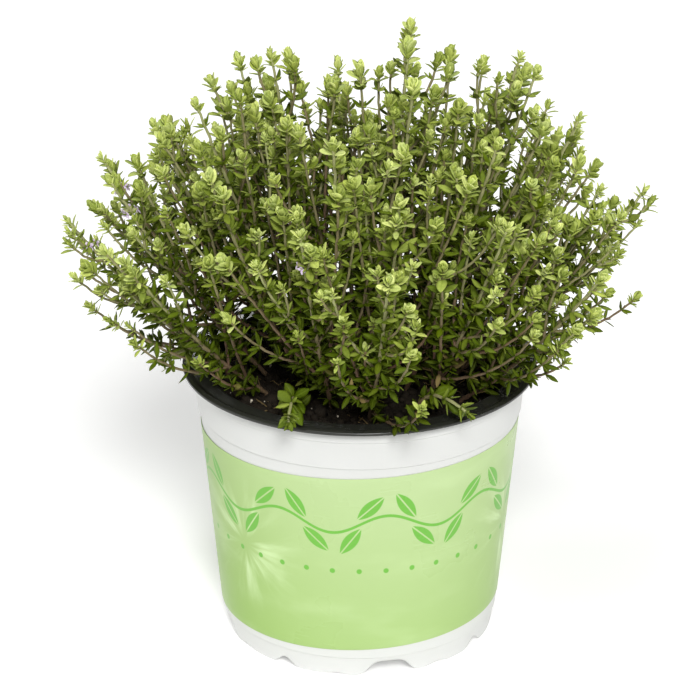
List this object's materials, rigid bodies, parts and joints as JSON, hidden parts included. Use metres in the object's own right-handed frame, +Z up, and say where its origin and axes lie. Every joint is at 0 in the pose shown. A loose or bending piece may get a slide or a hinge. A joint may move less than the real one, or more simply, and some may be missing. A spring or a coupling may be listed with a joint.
{
  "type": "potted thyme",
  "caption": "Bush of leafy thyme stems in soil, in a black grow pot that hangs by its rim in a white cover pot with notched feet and a green label.",
  "frame": {"origin": "on the pots' axis, at the level the feet stand on", "axes": "+Z up along the pots' axis, -Y towards the front of the label, +X to its right"},
  "size_m": [0.2003, 0.1822, 0.2096],
  "materials": {
    "white_plastic": "satin",
    "black_plastic": "satin",
    "label_film": "gloss",
    "soil": "matte",
    "foliage": "matte"
  },
  "bodies": {
    "root": {"cover_pot": "white_plastic", "label": "label_film", "grow_pot": "black_plastic", "soil": "soil", "thyme_stem_01": "foliage", "thyme_stem_02": "foliage", "thyme_stem_03": "foliage", "thyme_stem_04": "foliage", "thyme_stem_05": "foliage", "thyme_stem_06": "foliage", "thyme_stem_07": "foliage", "thyme_stem_08": "foliage", "thyme_stem_09": "foliage", "thyme_stem_10": "foliage", "thyme_stem_11": "foliage", "thyme_stem_12": "foliage", "thyme_stem_13": "foliage", "thyme_stem_14": "foliage", "thyme_stem_15": "foliage", "thyme_stem_16": "foliage", "thyme_stem_17": "foliage", "thyme_stem_18": "foliage", "thyme_stem_19": "foliage", "thyme_stem_20": "foliage", "thyme_stem_21": "foliage", "thyme_stem_22": "foliage", "thyme_stem_23": "foliage", "thyme_stem_24": "foliage", "thyme_stem_25": "foliage", "thyme_stem_26": "foliage", "thyme_stem_27": "foliage", "thyme_stem_28": "foliage", "thyme_stem_29": "foliage", "thyme_stem_30": "foliage", "thyme_stem_31": "foliage", "thyme_stem_32": "foliage", "thyme_stem_33": "foliage", "rim_sprig_1": "foliage", "rim_sprig_2": "foliage", "rim_sprig_3": "foliage", "rim_sprig_4": "foliage", "rim_sprig_5": "foliage"}
  },
  "joints": []
}
